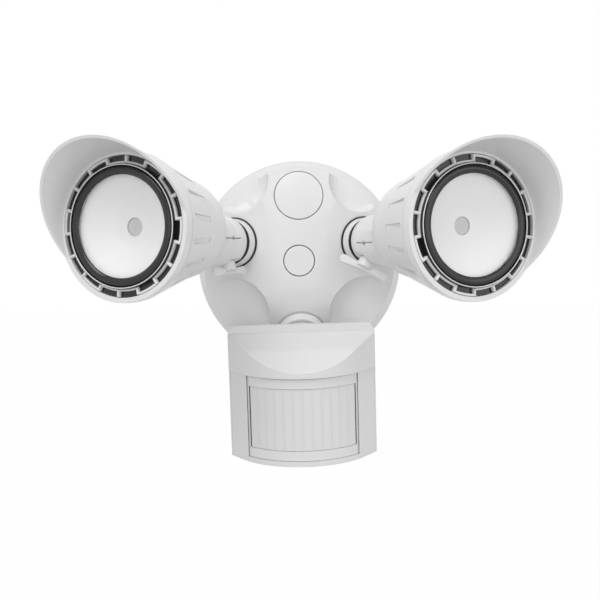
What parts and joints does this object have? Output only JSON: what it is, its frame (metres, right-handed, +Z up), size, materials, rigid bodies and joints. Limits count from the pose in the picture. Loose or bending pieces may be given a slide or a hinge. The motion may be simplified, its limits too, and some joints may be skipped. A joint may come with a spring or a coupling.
{
  "type": "motion sensor security light",
  "caption": "Wall-mounted outdoor security light: a round cover plate carries swivelling lamp heads with hooded visors and a swivelling motion sensor below",
  "frame": {"origin": "centre of the mounting bar's back face, on the wall plane", "axes": "+X to the viewer's right, +Y into the wall, +Z up"},
  "size_m": [0.269, 0.1425, 0.1774],
  "materials": {
    "white_plastic": "smooth glossy white moulding",
    "dial_plastic": "plain light grey knob",
    "black_rubber": "smooth black seal",
    "pale_rubber": "smooth pale grey seal",
    "gloss_black": "smooth black seal with a slight shine",
    "zinc_steel": "bright zinc plate",
    "nut_plastic": "matt white moulding",
    "clear_lens": "clear flat lens",
    "reflector_white": "smooth bright white cone",
    "phosphor": "grey light-emitting disc",
    "board_white": "white circuit board",
    "board_green": "green circuit board",
    "spreader_metal": "plain cast disc",
    "insert_brass": "turned thread insert",
    "window_plastic": "thin translucent white sheet",
    "cell_plastic": "small light cell"
  },
  "bodies": {
    "base": {"cover_plate": "white_plastic", "plate_gasket": "black_rubber", "mounting_bar": "zinc_steel", "centre_screw": "zinc_steel", "screw_cap": "white_plastic", "blank_plug": "white_plastic", "plug_nut": "nut_plastic", "left_base_seal": "black_rubber", "right_base_seal": "black_rubber", "sensor_base_seal": "pale_rubber"},
    "left_stud": {"left_collar": "white_plastic", "left_mouth_seal": "black_rubber", "left_locknut": "nut_plastic"},
    "left_head": {"left_housing": "white_plastic", "left_visor": "white_plastic", "left_crown_ring": "white_plastic", "left_lens_gasket": "gloss_black", "left_lens": "clear_lens", "left_reflector": "reflector_white", "left_led_chip": "phosphor", "left_led_board": "board_white", "left_heat_spreader": "spreader_metal", "left_driver_board": "board_green", "left_head_screws": "zinc_steel", "left_thread_insert": "insert_brass"},
    "left_wing": {"left_wing_screw": "white_plastic"},
    "right_stud": {"right_collar": "white_plastic", "right_mouth_seal": "black_rubber", "right_locknut": "nut_plastic"},
    "right_head": {"right_housing": "white_plastic", "right_visor": "white_plastic", "right_crown_ring": "white_plastic", "right_lens_gasket": "gloss_black", "right_lens": "clear_lens", "right_reflector": "reflector_white", "right_led_chip": "phosphor", "right_led_board": "board_white", "right_heat_spreader": "spreader_metal", "right_driver_board": "board_green", "right_head_screws": "zinc_steel", "right_thread_insert": "insert_brass"},
    "right_wing": {"right_wing_screw": "white_plastic"},
    "sensor_stud": {"sensor_collar": "white_plastic", "sensor_mouth_seal": "pale_rubber", "sensor_locknut": "nut_plastic"},
    "sensor_head": {"sensor_housing": "white_plastic", "sensor_back": "white_plastic", "sensor_frame": "white_plastic", "sensor_window": "window_plastic", "sensor_board": "board_green", "detector": "zinc_steel", "photocell": "cell_plastic", "case_screws": "zinc_steel", "pivot_screw": "zinc_steel", "pivot_nut": "zinc_steel"},
    "left_dial_body": {"left_dial": "dial_plastic"},
    "middle_dial_body": {"middle_dial": "dial_plastic"},
    "right_dial_body": {"right_dial": "dial_plastic"}
  },
  "joints": [
    {"name": "left_swivel", "type": "hinge", "parent": "base", "child": "left_stud", "pos_m": [-0.038, -0.01765, 0.011], "axis": [-0.4067, -0.9135, 0], "range_deg": [-106.7, 73.3]},
    {"name": "left_tilt", "type": "hinge", "parent": "left_stud", "child": "left_head", "pos_m": [-0.04491, -0.03318, 0.011], "axis": [0.2625, -0.1169, -0.9578], "range_deg": [-20, 40]},
    {"name": "left_wing_turn", "type": "hinge", "parent": "left_head", "child": "left_wing", "pos_m": [-0.04491, -0.03318, 0.011], "axis": [0.2625, -0.1169, -0.9578], "range_deg": [0, 360]},
    {"name": "right_swivel", "type": "hinge", "parent": "base", "child": "right_stud", "pos_m": [0.038, -0.01765, 0.011], "axis": [-0.4067, 0.9135, 0], "range_deg": [-119.3, 60.7]},
    {"name": "right_tilt", "type": "hinge", "parent": "right_stud", "child": "right_head", "pos_m": [0.04491, -0.03318, 0.011], "axis": [0.4471, 0.1991, 0.8721], "range_deg": [-20, 40]},
    {"name": "right_wing_turn", "type": "hinge", "parent": "right_head", "child": "right_wing", "pos_m": [0.04491, -0.03318, 0.011], "axis": [-0.4471, -0.1991, -0.8721], "range_deg": [0, 360]},
    {"name": "sensor_swivel", "type": "hinge", "parent": "base", "child": "sensor_stud", "pos_m": [0.0009, -0.01303, -0.0422], "axis": [0, -0.866, -0.5], "range_deg": [-15, 15]},
    {"name": "sensor_tilt", "type": "hinge", "parent": "sensor_stud", "child": "sensor_head", "pos_m": [0.0009, -0.02775, -0.0507], "axis": [-0.9998, 0.0105, -0.0181], "range_deg": [-8, 15]},
    {"name": "left_dial_turn", "type": "hinge", "parent": "sensor_head", "child": "left_dial_body", "pos_m": [-0.01501, -0.03467, -0.11489], "axis": [0.0196, 0.1563, -0.9875], "range_deg": [0, 270]},
    {"name": "middle_dial_turn", "type": "hinge", "parent": "sensor_head", "child": "middle_dial_body", "pos_m": [0.00198, -0.03485, -0.11459], "axis": [0.0196, 0.1563, -0.9875], "range_deg": [0, 270]},
    {"name": "right_dial_turn", "type": "hinge", "parent": "sensor_head", "child": "right_dial_body", "pos_m": [0.01898, -0.03503, -0.11428], "axis": [0.0196, 0.1563, -0.9875], "range_deg": [0, 270]}
  ]
}
